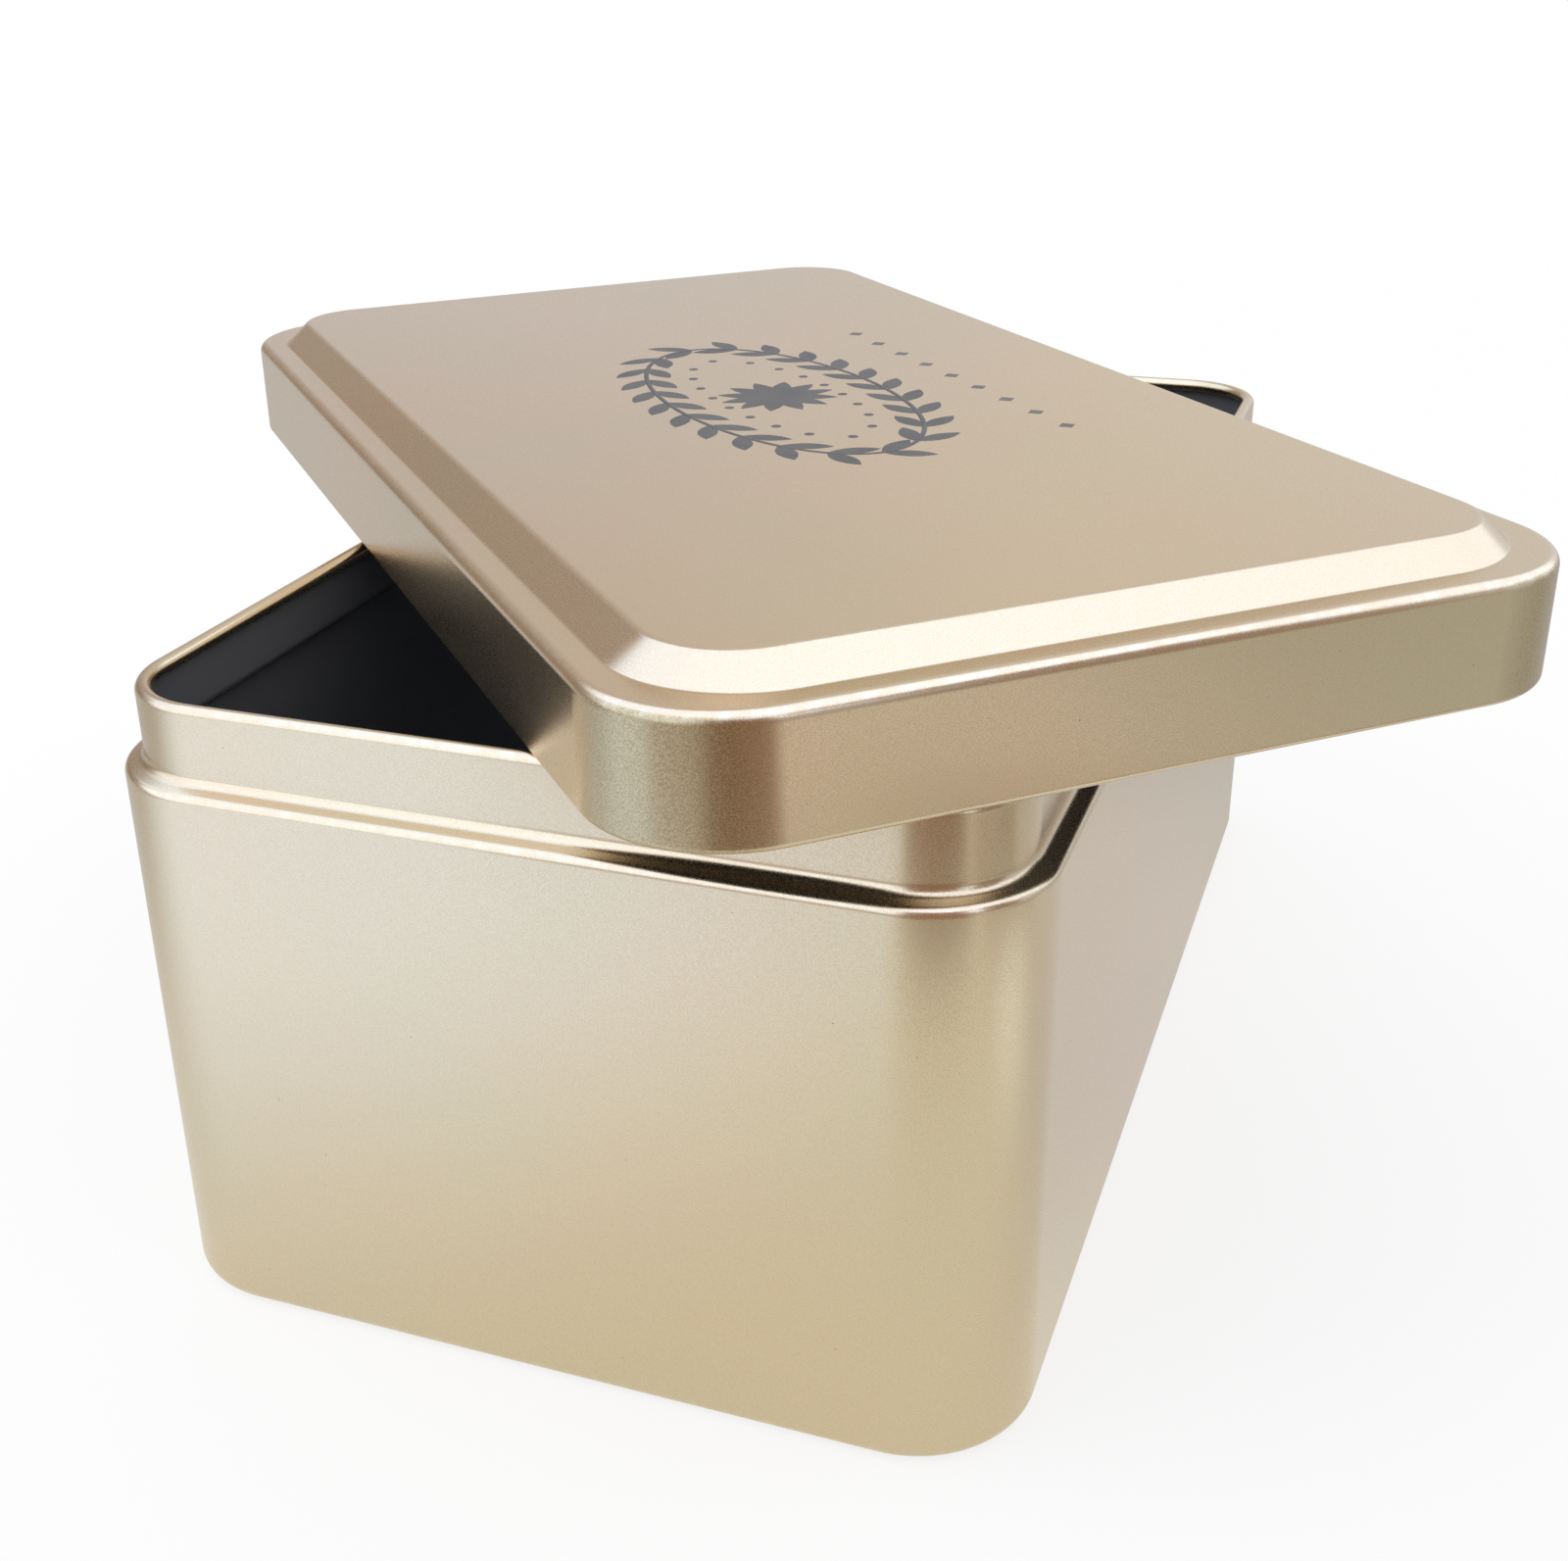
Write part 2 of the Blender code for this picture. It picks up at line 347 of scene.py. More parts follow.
def makeWearGroup():
    # Patchy rubbing along bends, from the sheet's wear attribute
    group, given, wanted = newGroup("edgeRub", {"Patch Size": 2.0 * mm, "Amount": 0.5}, ["Mask"])
    wear = addNode(group, "ShaderNodeAttribute", -1000, -200, attribute_name="wear").outputs["Fac"]
    patch = noise(group, objectPlace(group), given["Patch Size"], 200, Detail=3.0, Roughness=0.65)
    patches = smoothStep(group, patch, *effectLook["patchRange"], -500, 200)
    rubbed = mathNode(group, "MULTIPLY", -250, 0, patches, wear)
    feed(wanted["Mask"], mathNode(group, "MULTIPLY", 0, 0, rubbed, given["Amount"], True))
    return group


def makeSpeckGroup():
    # Sparse dark pits and dust specks in the lacquer
    group, given, wanted = newGroup("fineSpecks", {"Spacing": 2.2 * mm, "Speck Share": 0.07}, ["Mask"])
    scale = mathNode(group, "DIVIDE", -1000, 50, 1.0, given["Spacing"])
    cells = addNode(group, "ShaderNodeTexVoronoi", -750, 200)
    setInputs(cells, Vector=objectPlace(group), Scale=scale)
    near = smoothStep(group, cells.outputs["Distance"], given["Speck Share"], 0.0, -500, 200)
    pick = addNode(group, "ShaderNodeSeparateColor", -500, -100)
    setInputs(pick, Color=cells.outputs["Color"])
    chosen = mathNode(group, "GREATER_THAN", -250, -100, pick.outputs[0], effectLook["bareCells"])
    feed(wanted["Mask"], mathNode(group, "MULTIPLY", 0, 0, near, chosen))
    return group


def makePeelGroup():
    # The coarse sandy skin of corners that the press has stretched, from the sheet's drawn attribute, which
    # also sets where the gold lacquer paints shade
    group, given, wanted = newGroup(
        "orangePeel", {"Size": 0.2 * mm, "Height": 0.008 * mm}, ("Height", "Drawn And Shade", "Sand")
    )
    drawn = addNode(group, "ShaderNodeAttribute", -1000, -200, attribute_name="drawn").outputs["Fac"]
    sand = noise(group, objectPlace(group), given["Size"], 200, Detail=1.5, Roughness=0.55)
    bumps = mathNode(group, "MULTIPLY", -500, 200, sand, given["Height"])
    feed(wanted["Height"], mathNode(group, "MULTIPLY", -250, 0, bumps, drawn))
    feed(wanted["Drawn And Shade"], drawn)
    feed(wanted["Sand"], smoothStep(group, sand, *effectLook["sandRange"], -500, 0))
    return group


satinGrain = makeGrainGroup()
orangePeel = makePeelGroup()
edgeRub = makeWearGroup()
fineSpecks = makeSpeckGroup()
print("shader groups ready")


def useGrain(tree, look):
    return useGroup(tree, satinGrain, -500, 200, {
        "Grain Size": look["grainSize"], "Grain Height": look["grainHeight"],
        "Wave Size": look["waveSize"], "Wave Height": look["waveHeight"],
    })


def useMarks(tree, look):
    # Masks of the rubbed bends and of the specks
    rub = useGroup(tree, edgeRub, -500, -100, {
        "Patch Size": look["rubPatch"], "Amount": look["rubAmount"],
    })
    specks = useGroup(tree, fineSpecks, -500, -300, {
        "Spacing": look["speckSpacing"], "Speck Share": look["speckSize"],
    })
    return rub["Mask"], specks["Mask"]


# Materials

goldLacquer = {
    "colour": (0.610, 0.490, 0.315, 1),
    "warm": (0.640, 0.480, 0.310, 1),       # pinkish drift of the lacquer
    "glintColour": (0.640, 0.545, 0.385, 1),       # painted glint of fleck facets that face the light
    "glintShare": 0.7,
    "rubbed": (0.740, 0.700, 0.610, 1),     # tinplate showing through at bends
    "speck": (0.200, 0.150, 0.090, 1),
    "cornerShadeDark": (0.365, 0.283, 0.160, 1),  # painted shade of a drawn corner: the lacquer darkened there, in dark and light grains
    "cornerShadeLight": (0.495, 0.395, 0.235, 1),
    "roughness": 0.25,
    "roughRange": 0.04,
    "drawnRoughness": 0.05,                 # added in drawn corners
    "edgeTint": (1.0, 0.98, 0.95, 1),
    "grainSize": 0.20 * mm,
    "grainHeight": 0.0010 * mm,
    "peelSize": 0.15 * mm,
    "peelHeight": 0.003 * mm,
    "waveSize": 28 * mm,
    "waveHeight": 0.03 * mm,
    "rubPatch": 1.8 * mm,
    "rubAmount": 0.35,
    "speckSpacing": 2.4 * mm,
    "speckSize": 0.05,                      # a share of the spacing
}
seamLine = {
    "halfWidth": 0.16 * mm,
    "depth": 0.12 * mm,
    "colour": (0.16, 0.12, 0.07, 1),
    "colourShare": 0.6,
}


def makeGoldLacquer(name, seamPlace=None):
    look = goldLacquer
    material, tree, shader = newMaterial(name)
    grain = useGrain(tree, look)
    rub, specks = useMarks(tree, look)
    peel = useGroup(tree, orangePeel, -500, -450, {"Size": look["peelSize"], "Height": look["peelHeight"]})
    drift = mixColour(tree, grain["Cloud"], look["colour"], look["warm"], -200, 400)
    # Flecks take a paler colour as painted glint
    glintShare = mathNode(tree, "MULTIPLY", -100, 250, grain["Fleck"], look["glintShare"])
    flecked = mixColour(tree, glintShare, drift, look["glintColour"], 0, 400)
    # Drawn corners take a darker sandy colour: painted shade over their real coarse grain
    shadedSand = mixColour(tree, peel["Sand"], look["cornerShadeDark"], look["cornerShadeLight"], 0, 600)
    drawn = mixColour(tree, peel["Drawn And Shade"], flecked, shadedSand, 100, 400)
    rubbed = mixColour(tree, rub, drawn, look["rubbed"], 200, 400)
    colour = mixColour(tree, specks, rubbed, look["speck"], 400, 400)
    low = look["roughness"] - look["roughRange"]
    high = look["roughness"] + look["roughRange"]
    satin = smoothStep(tree, grain["Fleck"], 0.0, 1.0, 0, 100, high, low)
    coarser = mathNode(tree, "MULTIPLY", 0, -50, peel["Drawn And Shade"], look["drawnRoughness"])
    rough = mathNode(tree, "ADD", 200, 100, satin, coarser)
    height = mathNode(tree, "ADD", 0, -250, grain["Height"], peel["Height"])
    if seamPlace:
        height, colour = cutSeamLine(tree, height, colour, seamPlace)
    finishSurface(tree, shader, colour, height, rough, 1.0)
    setInputs(shader, Specular_Tint=look["edgeTint"])
    return material


def cutSeamLine(tree, height, colour, seamPlace):
    # The closed joint of the lock seam shows outside as one fine groove down the back wall
    look = seamLine
    place = addNode(tree, "ShaderNodeSeparateXYZ", -700, -600)
    feed(place.inputs[0], objectPlace(tree))
    shift = mathNode(tree, "SUBTRACT", -500, -600, place.outputs[0], seamPlace.x)
    aside = mathNode(tree, "ABSOLUTE", -300, -600, shift)
    line = smoothStep(tree, aside, look["halfWidth"], 0.0, -100, -600)
    behind = mathNode(tree, "GREATER_THAN", -300, -750, place.outputs[1], seamPlace.y)
    mask = mathNode(tree, "MULTIPLY", 100, -600, line, behind)
    sunk = mathNode(tree, "MULTIPLY", 250, -600, mask, -look["depth"])
    share = mathNode(tree, "MULTIPLY", 250, -700, mask, look["colourShare"])
    return (
        mathNode(tree, "ADD", 250, -450, height, sunk),
        mixColour(tree, share, colour, look["colour"], 550, 400),
    )


darkLacquer = {
    # The same dark lacquer in two brightnesses: the tin's inside is lightened as painted light and the lid's
    # underside darkened as painted shade
    "litAndShadedColours": {    # plain and scuffed
        "tin": ((0.145, 0.150, 0.168, 1), (0.195, 0.200, 0.215, 1)),
        "lid": ((0.036, 0.035, 0.033, 1), (0.080, 0.080, 0.082, 1)),
    },
    "roughness": 0.34,
    "roughRange": 0.10,
    "grainSize": 1.6 * mm,
    "grainHeight": 0.004 * mm,
    "waveSize": 24 * mm,
    "waveHeight": 0.02 * mm,
    "rubPatch": 1.2 * mm,
    "rubAmount": 0.5,
    "speckSpacing": 3.0 * mm,
    "speckSize": 0.05,
    "speckStrength": 0.6,
}


def makeDarkLacquer(name, side):
    look = darkLacquer
    plain, scuffed = look["litAndShadedColours"][side]
    material, tree, shader = newMaterial(name)
    grain = useGrain(tree, look)
    rub, specks = useMarks(tree, look)
    dust = mathNode(tree, "MULTIPLY", -350, -350, specks, look["speckStrength"])
    marks = mathNode(tree, "MAXIMUM", -250, -200, rub, dust)
    colour = mixColour(tree, marks, plain, scuffed, 0, 300)
    high = look["roughness"] + look["roughRange"]
    rough = smoothStep(tree, grain["Cloud"], 0.0, 1.0, 0, 0, look["roughness"], high)
    finishSurface(tree, shader, colour, grain["Height"], rough, 0.0)
    return material


bareTinplate = {
    "colour": (0.62, 0.60, 0.57, 1),
    "stained": (0.34, 0.30, 0.25, 1),
    "roughness": 0.34,
    "grainSize": 0.1 * mm,
    "grainHeight": 0.003 * mm,
    "waveSize": 4 * mm,
    "waveHeight": 0.002 * mm,
}


def makeBareTinplate(name):
    look = bareTinplate
    material, tree, shader = newMaterial(name)
    grain = useGrain(tree, look)
    colour = mixColour(tree, grain["Cloud"], look["colour"], look["stained"], 0, 300)
    finishSurface(tree, shader, colour, grain["Height"], look["roughness"], 1.0)
    return material


printInk = {
    "colour": (0.058, 0.056, 0.055, 1),
    "thin": (0.120, 0.108, 0.090, 1),
    "cloudShare": 0.35,     # how thin the ink gets in clouds and in flecks
    "fleckShare": 0.15,
    "rowThinness": 0.75,    # how thin the row's ink is all over
    "roughness": 0.42,
    "metallic": 0.25,
    "grainSize": 0.15 * mm,
    "grainHeight": 0.002 * mm,
    "waveSize": 5 * mm,
    "waveHeight": 0.001 * mm,
}


def makePrintInk(name, thinness):
    look = printInk
    material, tree, shader = newMaterial(name)
    grain = useGrain(tree, look)
    clouds = mathNode(tree, "MULTIPLY", -250, 100, grain["Cloud"], look["cloudShare"])
    flecks = mathNode(tree, "MULTIPLY", -250, -50, grain["Fleck"], look["fleckShare"])
    patchy = mathNode(tree, "ADD", -100, 100, clouds, flecks)
    share = mathNode(tree, "ADD", 50, 100, patchy, thinness, True)
    colour = mixColour(tree, share, look["colour"], look["thin"], 200, 300)
    finishSurface(tree, shader, colour, grain["Height"], look["roughness"], look["metallic"])
    return material


# Side wall: curled rim, neck, shoulder, wall and turned-in foot

wallShape = {
    "cornerRadius": 13.3 * mm,
    "shoulderHeight": 63.4 * mm,
    "shoulderRadius": 0.95 * mm,
    "shoulderSlope": 20.0,
    "rimCurl": 1.8 * mm,
    "neckInset": 2.2 * mm,
    "neckFootRadius": 1.3 * mm,
    "neckDrawnShade": 0.3,       # how coarse the press left the neck's corners and how much painted shade darkens them, with 1 as the lid's
    "footRadius": 1.8 * mm,
    "footWidth": 4.2 * mm,
    "footHemHeight": 1.9 * mm,
    "footHemRadius": 0.6 * mm,
    "seamWidth": 5.0 * mm,
    "seamLayers": 0.6 * mm,
    "seamFold": 0.24 * mm,
    "seamLow": 8.0 * mm,
    "seamMargin": 3.0 * mm,
}


def makeSideWall(outside, inside, edge):
    shape = wallShape
    neck = shape["neckInset"] + half
    slope = math.radians(shape["shoulderSlope"])
    below = half / math.cos(slope)
    foot = shape["shoulderHeight"] + neck * math.tan(slope) - below
    crest = shape["shoulderHeight"] + half * math.tan(slope) - below
    hem = shape["footWidth"] - half
    corners = curlCorners(neck, rimHeight - half, shape["rimCurl"], 1, (shape["rimCurl"] - sheet) / 2, 0.8)
    corners += [
        (neck, foot, shape["neckFootRadius"], 0),
        (half, crest, shape["shoulderRadius"] - half, 0.7),
        (half, half, shape["footRadius"] - half, 1.0),
        (hem, half, shape["footHemRadius"], 0.4),
        (hem, shape["footHemHeight"], 0, 0),
    ]

    def radiusAt(point):
        return max(shape["cornerRadius"] - point.x, sheet)

    def drawnShadeAt(point):
        return shape["neckDrawnShade"] if point.y > shape["shoulderHeight"] else 0.0

    materials = (inside, outside, edge)
    return sweepSheet("wall_shell", corners, bodyWidth, bodyLength, radiusAt, drawnShadeAt, materials, False)


def makeLockSeam(inside):
    # The folded layers of the seam on the inside of the back wall
    shape = wallShape
    low = shape["seamLow"]
    high = shape["shoulderHeight"] - shape["shoulderRadius"] - shape["seamMargin"]
    depth = shape["seamLayers"] + half
    strip = bmesh.new()
    bmesh.ops.create_cube(strip, size=1)
    bmesh.ops.scale(strip, vec=Vector((shape["seamWidth"], depth, high - low)), verts=strip.verts)
    middle = Vector((0, bodyLength / 2 - half - depth / 2, (low + high) / 2))
    bmesh.ops.translate(strip, vec=middle, verts=strip.verts)
    fold = shape["seamFold"]
    bmesh.ops.bevel(strip, geom=strip.edges[:], offset=fold, segments=4, affect="EDGES", profile=0.6)
    mesh = bpy.data.meshes.new("lock_seam")
    strip.to_mesh(mesh)
    strip.free()
    mesh.shade_smooth()
    mesh.materials.append(inside)
    return linkObject("lock_seam", mesh)


# Base panel, folded into the channel of the wall's foot

baseShape = {
    "edgeHeight": 5.0 * mm,
    "channelRadius": 0.6 * mm,
    "margin": 3.3 * mm,
    "stepRun": 1.1 * mm,
    "stepRise": 0.9 * mm,
    "stepRadius": 0.6 * mm,
    # how coarse the press left the base's corners and how much painted shade darkens them
    "drawn": 0.5,
}


def makeBasePanel(under, inside, edge):
    shape = baseShape
    wall = wallShape
    gap = sheetMetal["seatGap"]
    beside = half + sheet + gap
    inner = wall["footWidth"] - half - sheet - gap
    over = wall["footHemHeight"] + gap + half
    stepFoot = wall["footWidth"] + shape["margin"]
    stepTop = stepFoot + shape["stepRun"]
    field = over + shape["stepRise"]
    corners = [
        (beside, shape["edgeHeight"], 0, 0),
        (beside, beside, wall["footRadius"] - sheet - gap - half, 0),
        (inner, beside, shape["channelRadius"], 0),
        (inner, over, half + gap, 0.3),
        (stepFoot, over, shape["stepRadius"], 0),
        (stepTop, field, shape["stepRadius"], 0.4),
        (stepTop + shape["stepRadius"], field, 0, 0),
    ]

    def radiusAt(point):
        return max(wall["cornerRadius"] - point.x, sheet)

    def drawnShadeAt(point):
        return shape["drawn"]

    materials = (inside, under, edge)
    return sweepSheet("base_shell", corners, bodyWidth, bodyLength, radiusAt, drawnShadeAt, materials, True)


# Lid: rolled hem, skirt, rounded edge, ledge, bevel and raised panel

lidShape = {
    "width": 100.9 * mm,
    "length": 172.3 * mm,
    "cornerRadius": 13.75 * mm,
    "turn": 42.9,
    "hem": 2.3 * mm,
    "hemEdgeRadius": 0.5 * mm,
    "bevelRise": 2.7 * mm,
    "bevelRun": 3.35 * mm,
    "ledgeEdgeRadius": 1.2 * mm,
    "ledgeWidth": 3.55 * mm,
    "bevelFootRadius": 0.6 * mm,
    "bevelTopRadius": 0.9 * mm,
    "bevelFootCorner": 13.0 * mm,
    "bevelTopCorner": 8.5 * mm,
}
onLid = Matrix.Translation(lidMiddle) @ Matrix.Rotation(math.radians(lidShape["turn"]), 4, "Z")


def makeLid(outside, inside, edge):
    shape = lidShape
    top = lidTop - lidMiddle.z - half
    ledge = top - shape["bevelRise"]
    bevelEnd = shape["ledgeWidth"] + shape["bevelRun"]
    corners = curlCorners(half, half, shape["hem"], -1, shape["hemEdgeRadius"], 0.3)
    corners += [
        (half, ledge, shape["ledgeEdgeRadius"] - half, 0.9),
        (shape["ledgeWidth"], ledge, shape["bevelFootRadius"], 0),
        (bevelEnd, top, shape["bevelTopRadius"], 0.6),
        (bevelEnd + shape["bevelTopRadius"], top, 0, 0),
    ]
    insets = (shape["ledgeEdgeRadius"], shape["ledgeWidth"], bevelEnd)
    radii = (shape["cornerRadius"] - insets[0], shape["bevelFootCorner"], shape["bevelTopCorner"])

    def radiusAt(point):
        if point.x < insets[0] or point.y < top / 2:
            return shape["cornerRadius"] - point.x
        for k in (0, 1):
            if point.x < insets[k + 1]:
                share = (point.x - insets[k]) / (insets[k + 1] - insets[k])
                return radii[k] + (radii[k + 1] - radii[k]) * share
        return radii[2]

    # the skirt's corners get the coarse drawn skin and its painted shade
    def drawnShadeAt(point):
        return 1.0 if point.x < shape["ledgeEdgeRadius"] / 4 else 0.0

    materials = (outside, inside, edge)
    lid = sweepSheet(
        "lid_shell", corners, shape["width"], shape["length"], radiusAt, drawnShadeAt, materials, True
    )
    lid.data.transform(onLid)
    return lid


# Printed ornament: a leaf wreath round a rosette and dots, with a row of diamonds beside it

ornament = {
    "Wreath Length": 58 * mm,
    "Wreath Width": 27 * mm,
    "Leaf Pairs": 22,
    "Leaf Length": 6.2 * mm,
    "Leaf Width": 2.4 * mm,
    "Leaf Tilt": 34.0,
    "Stem Width": 0.6 * mm,
    "Petal Count": 12,
    "Petal Length": 7.4 * mm,
    "Petal Width": 2.5 * mm,
    "Dot Ring Length": 42.92 * mm,
    "Dot Ring Width": 15.12 * mm,
    "Dot Count": 18,
    "Dot Radius": 0.6 * mm,
    "Film": 0.016 * mm,
    "Overlap Step": 0.0006 * mm,    # overlapping shapes lie this much above each other
}
sideRow = {
    "Row Length": 56 * mm,
    "Row Place": 24 * mm,
    "Mark Count": 9,
    "Mark Size": 1.1 * mm,
    "Film": 0.016 * mm,
}
filmRise = 0.2      # how far the middle of the film lies above the panel, as a share of its thickness


class ShapeTree:
    # A geometry node tree with named inputs, filled by the methods below
    def __init__(self, name, sizes):
        self.tree = bpy.data.node_groups.new(name, "GeometryNodeTree")
        face = self.tree.interface
        face.new_socket("Geometry", in_out="INPUT", socket_type="NodeSocketGeometry")
        for label, value in sizes.items():
            kind = "NodeSocketInt" if isinstance(value, int) else "NodeSocketFloat"
            face.new_socket(label, in_out="INPUT", socket_type=kind).default_value = value
        face.new_socket("Ink", in_out="INPUT", socket_type="NodeSocketMaterial")
        face.new_socket("Geometry", in_out="OUTPUT", socket_type="NodeSocketGeometry")
        self.given = self.tree.nodes.new("NodeGroupInput").outputs
        self.leave = self.tree.nodes.new("NodeGroupOutput").inputs

    def add(self, kind, settings=None, **inputs):
        node = self.tree.nodes.new(kind)
        for key, value in (settings or {}).items():
            setattr(node, key, value)
        return setInputs(node, **inputs)

    def calc(self, operation, first, second=0.0):
        node = self.tree.nodes.new("ShaderNodeMath")
        node.operation = operation
        feed(node.inputs[0], first)
        feed(node.inputs[1], second)
        return node.outputs[0]

    def vector(self, x, y, z):
        return self.add("ShaderNodeCombineXYZ", X=x, Y=y, Z=z).outputs[0]

    def blade(self, length, width, film):
        # A leaf with two pointed ends, its stalk at the origin: a thin disc whose sides are drawn in
        disc = self.add("GeometryNodeMeshCylinder", Vertices=24, Radius=1.0, Depth=1.0)
        place = self.add("ShaderNodeSeparateXYZ", Vector=self.add("GeometryNodeInputPosition").outputs[0])
        side = self.calc("MULTIPLY", place.outputs[1], self.calc("ABSOLUTE", place.outputs[1]))
        moved = self.vector(place.outputs[0], side, place.outputs[2])
        drawn = self.add("GeometryNodeSetPosition", Geometry=disc.outputs["Mesh"], Position=moved)
        reach = self.calc("DIVIDE", length, 2.0)
        size = self.vector(reach, self.calc("DIVIDE", width, 2.0), film)
        shift = self.vector(reach, 0.0, 0.0)
        return self.add(
            "GeometryNodeTransform", Geometry=drawn.outputs[0], Scale=size, Translation=shift
        ).outputs[0]

    def disc(self, radius, film, sides=18):
        return self.add("GeometryNodeMeshCylinder", Vertices=sides, Radius=radius, Depth=film).outputs["Mesh"]

    def oval(self, length, width):
        ring = self.add("GeometryNodeCurvePrimitiveCircle", Resolution=160, Radius=1.0)
        size = self.vector(self.calc("DIVIDE", length, 2.0), self.calc("DIVIDE", width, 2.0), 1.0)
        return self.add("GeometryNodeTransform", Geometry=ring.outputs[0], Scale=size).outputs[0]

    def along(self, curve, count):
        return self.add("GeometryNodeCurveToPoints", {"mode": "COUNT"}, Curve=curve, Count=count)

    def raised(self, shape, lift):
        shift = self.vector(0.0, 0.0, lift)
        return self.add("GeometryNodeTransform", Geometry=shape, Translation=shift).outputs[0]

    def heading(self, tangent, tilt):
        # A turn about Z from a tangent, with a tilt in degrees added
        parts = self.add("ShaderNodeSeparateXYZ", Vector=tangent)
        angle = self.calc("ARCTAN2", parts.outputs[1], parts.outputs[0])
        return self.vector(0.0, 0.0, self.calc("ADD", angle, self.calc("RADIANS", tilt)))

    def scatter(self, points, shape, turn):
        return self.add(
            "GeometryNodeInstanceOnPoints", Points=points, Instance=shape, Rotation=turn
        ).outputs[0]

    def finish(self, parts):
        join = self.add("GeometryNodeJoinGeometry")
        for part in parts:
            self.tree.links.new(part, join.inputs[0])
        solid = self.add("GeometryNodeRealizeInstances", Geometry=join.outputs[0])
        inked = self.add("GeometryNodeSetMaterial", Geometry=solid.outputs[0], Material=self.given["Ink"])
        feed(self.leave["Geometry"], inked.outputs[0])
        return self.tree


def wreathTree():
    build = ShapeTree("wreathPrint", ornament)
    given = build.given
    film = given["Film"]
    leaf = build.blade(given["Leaf Length"], given["Leaf Width"], film)
    outer = build.oval(given["Wreath Length"], given["Wreath Width"])
    stations = build.along(outer, given["Leaf Pairs"])
    lift = given["Overlap Step"]
    parts = []
    for side in (1.0, -1.0):
        tilt = build.calc("MULTIPLY", given["Leaf Tilt"], side)
        leaves = build.scatter(stations.outputs[0], leaf, build.heading(stations.outputs[1], tilt))
        parts.append(build.raised(leaves, build.calc("MULTIPLY", lift, side)))
    strip = build.add("GeometryNodeCurvePrimitiveQuadrilateral", Width=given["Stem Width"], Height=film)
    stem = build.add("GeometryNodeCurveToMesh", Curve=outer, Profile_Curve=strip.outputs[0]).outputs[0]
    parts.append(build.raised(stem, build.calc("MULTIPLY", lift, 2.0)))
    inner = build.oval(given["Dot Ring Length"], given["Dot Ring Width"])
    beads = build.along(inner, given["Dot Count"])
    parts.append(build.scatter(beads.outputs[0], build.disc(given["Dot Radius"], film), (0.0, 0.0, 0.0)))
    petal = build.blade(given["Petal Length"], given["Petal Width"], film)
    rise = build.vector(0.0, 0.0, lift)
    middle = build.add("GeometryNodeMeshLine", Count=given["Petal Count"], Offset=rise)
    step = build.calc("DIVIDE", math.tau, given["Petal Count"])
    spin = build.calc("MULTIPLY", build.add("GeometryNodeInputIndex").outputs[0], step)
    parts.append(build.scatter(middle.outputs[0], petal, build.vector(0.0, 0.0, spin)))
    return build.finish(parts)


def rowTree():
    build = ShapeTree("sideRowPrint", sideRow)
    given = build.given
    start = build.vector(build.calc("MULTIPLY", given["Row Length"], -0.5), given["Row Place"], 0.0)
    gaps = build.calc("SUBTRACT", given["Mark Count"], 1.0)
    step = build.vector(build.calc("DIVIDE", given["Row Length"], gaps), 0.0, 0.0)
    line = build.add("GeometryNodeMeshLine", Count=given["Mark Count"], Start_Location=start, Offset=step)
    mark = build.disc(given["Mark Size"], given["Film"], 4)
    return build.finish([build.scatter(line.outputs[0], mark, (0.0, 0.0, 0.0))])


def printOnLid(name, tree, sizes, ink):
    # Runs the tree on an empty mesh, keeps the result as a plain mesh and lays it on the lid's panel
    holder = linkObject(name + "_maker", bpy.data.meshes.new(name + "_maker"))
    modifier = holder.modifiers.new("print", "NODES")
    modifier.node_group = tree
    for item in tree.interface.items_tree:
        if item.in_out != "INPUT":
            continue
        if item.name in sizes:
            modifier[item.identifier] = sizes[item.name]
        elif item.name == "Ink":
            modifier[item.identifier] = ink
    bpy.context.view_layer.update()
    evaluated = holder.evaluated_get(bpy.context.evaluated_depsgraph_get())
    mesh = bpy.data.meshes.new_from_object(evaluated)
    mesh.name = name
    bpy.data.objects.remove(holder)
    lift = Matrix.Translation((0, 0, lidTop - lidMiddle.z + sizes["Film"] * filmRise))
    alongLid = Matrix.Rotation(math.radians(-90), 4, "Z")   # the print reads along the lid's long side
    mesh.transform(onLid @ lift @ alongLid)
    return linkObject(name, mesh)


# Building the object

seamPlace = Vector((bodyMiddle.x + wallShape["seamWidth"] / 2, bodyMiddle.y))
wallGold = makeGoldLacquer("wall_gold_lacquer", seamPlace)
lidGold = makeGoldLacquer("lid_gold_lacquer")
baseGold = makeGoldLacquer("base_gold_lacquer")
# The tin's inside lacquer is lightened as painted light and the lid's underside darkened as painted shade
insideLitLacquer = makeDarkLacquer("inside_lit_dark_lacquer", "tin")
lidInsideShaded = makeDarkLacquer("lid_inside_shaded_lacquer", "lid")
cutEdge = makeBareTinplate("cut_edge_tinplate")
darkInk = makePrintInk("print_ink", 0.0)
paleInk = makePrintInk("print_ink_thin", printInk["rowThinness"])
print("materials ready")

wallShell = makeSideWall(wallGold, insideLitLacquer, cutEdge)
lockSeam = makeLockSeam(insideLitLacquer)
baseShell = makeBasePanel(baseGold, insideLitLacquer, cutEdge)
for piece in (wallShell, lockSeam, baseShell):
    piece.data.transform(Matrix.Translation(bodyMiddle))
lidShell = makeLid(lidGold, lidInsideShaded, cutEdge)
print("sheet metal ready:", [(o.name, len(o.data.polygons)) for o in (wallShell, baseShell, lidShell)])

